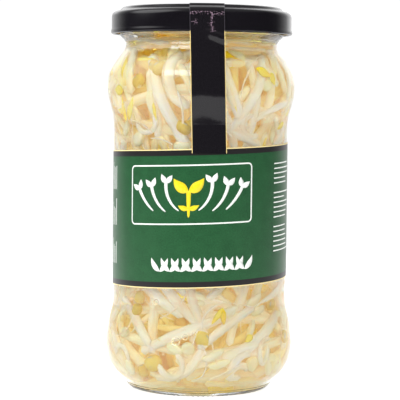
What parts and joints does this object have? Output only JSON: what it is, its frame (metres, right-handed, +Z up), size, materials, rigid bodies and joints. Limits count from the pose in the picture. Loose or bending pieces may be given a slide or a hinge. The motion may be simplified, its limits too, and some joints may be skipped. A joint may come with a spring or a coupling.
{
  "type": "jar of bean sprouts",
  "caption": "Sealed glass jar with a twist-off lid, wrap-round label and seal strip, filled with bean sprouts in brine.",
  "frame": {"origin": "on the jar's axis, level with the foot ring that it stands on", "axes": "+Z up along the jar's axis, -Y towards the seal strip and the front of the label, +X to the right seen from the front"},
  "size_m": [0.0688, 0.0691, 0.1404],
  "materials": {
    "glass": "clear, glossy",
    "lid_lacquer": "glossy black lacquer",
    "liner": "matte",
    "label": "coated, slightly glossy",
    "seal_film": "glossy black film",
    "brine": "clear golden liquid",
    "sprout": "moist, semi-translucent white",
    "bean_skin": "moist, olive green"
  },
  "bodies": {
    "root": {"jar": "glass", "lid": "lid_lacquer", "lid_liner": "liner", "label": "label", "seal_strip": "seal_film", "brine": "brine", "sprout_bunch_low_1": "sprout", "sprout_bunch_low_2": "sprout", "sprout_bunch_low_3": "sprout", "sprout_bunch_low_4": "sprout", "sprout_bunch_middle_1": "sprout", "sprout_bunch_middle_2": "sprout", "sprout_bunch_middle_3": "sprout", "sprout_bunch_middle_4": "sprout", "sprout_bunch_high_1": "sprout", "sprout_bunch_high_2": "sprout", "sprout_bunch_high_3": "sprout", "sprout_bunch_high_4": "sprout", "sprout_bunch_inner_low_1": "sprout", "sprout_bunch_inner_low_2": "sprout", "sprout_bunch_inner_low_3": "sprout", "sprout_bunch_inner_high_1": "sprout", "sprout_bunch_inner_high_2": "sprout", "sprout_bunch_inner_high_3": "sprout", "green_bean_1": "bean_skin", "green_bean_2": "bean_skin", "green_bean_3": "bean_skin", "green_bean_4": "bean_skin", "green_bean_5": "bean_skin", "green_bean_6": "bean_skin", "green_bean_7": "bean_skin", "green_bean_8": "bean_skin", "green_bean_9": "bean_skin"}
  },
  "joints": []
}
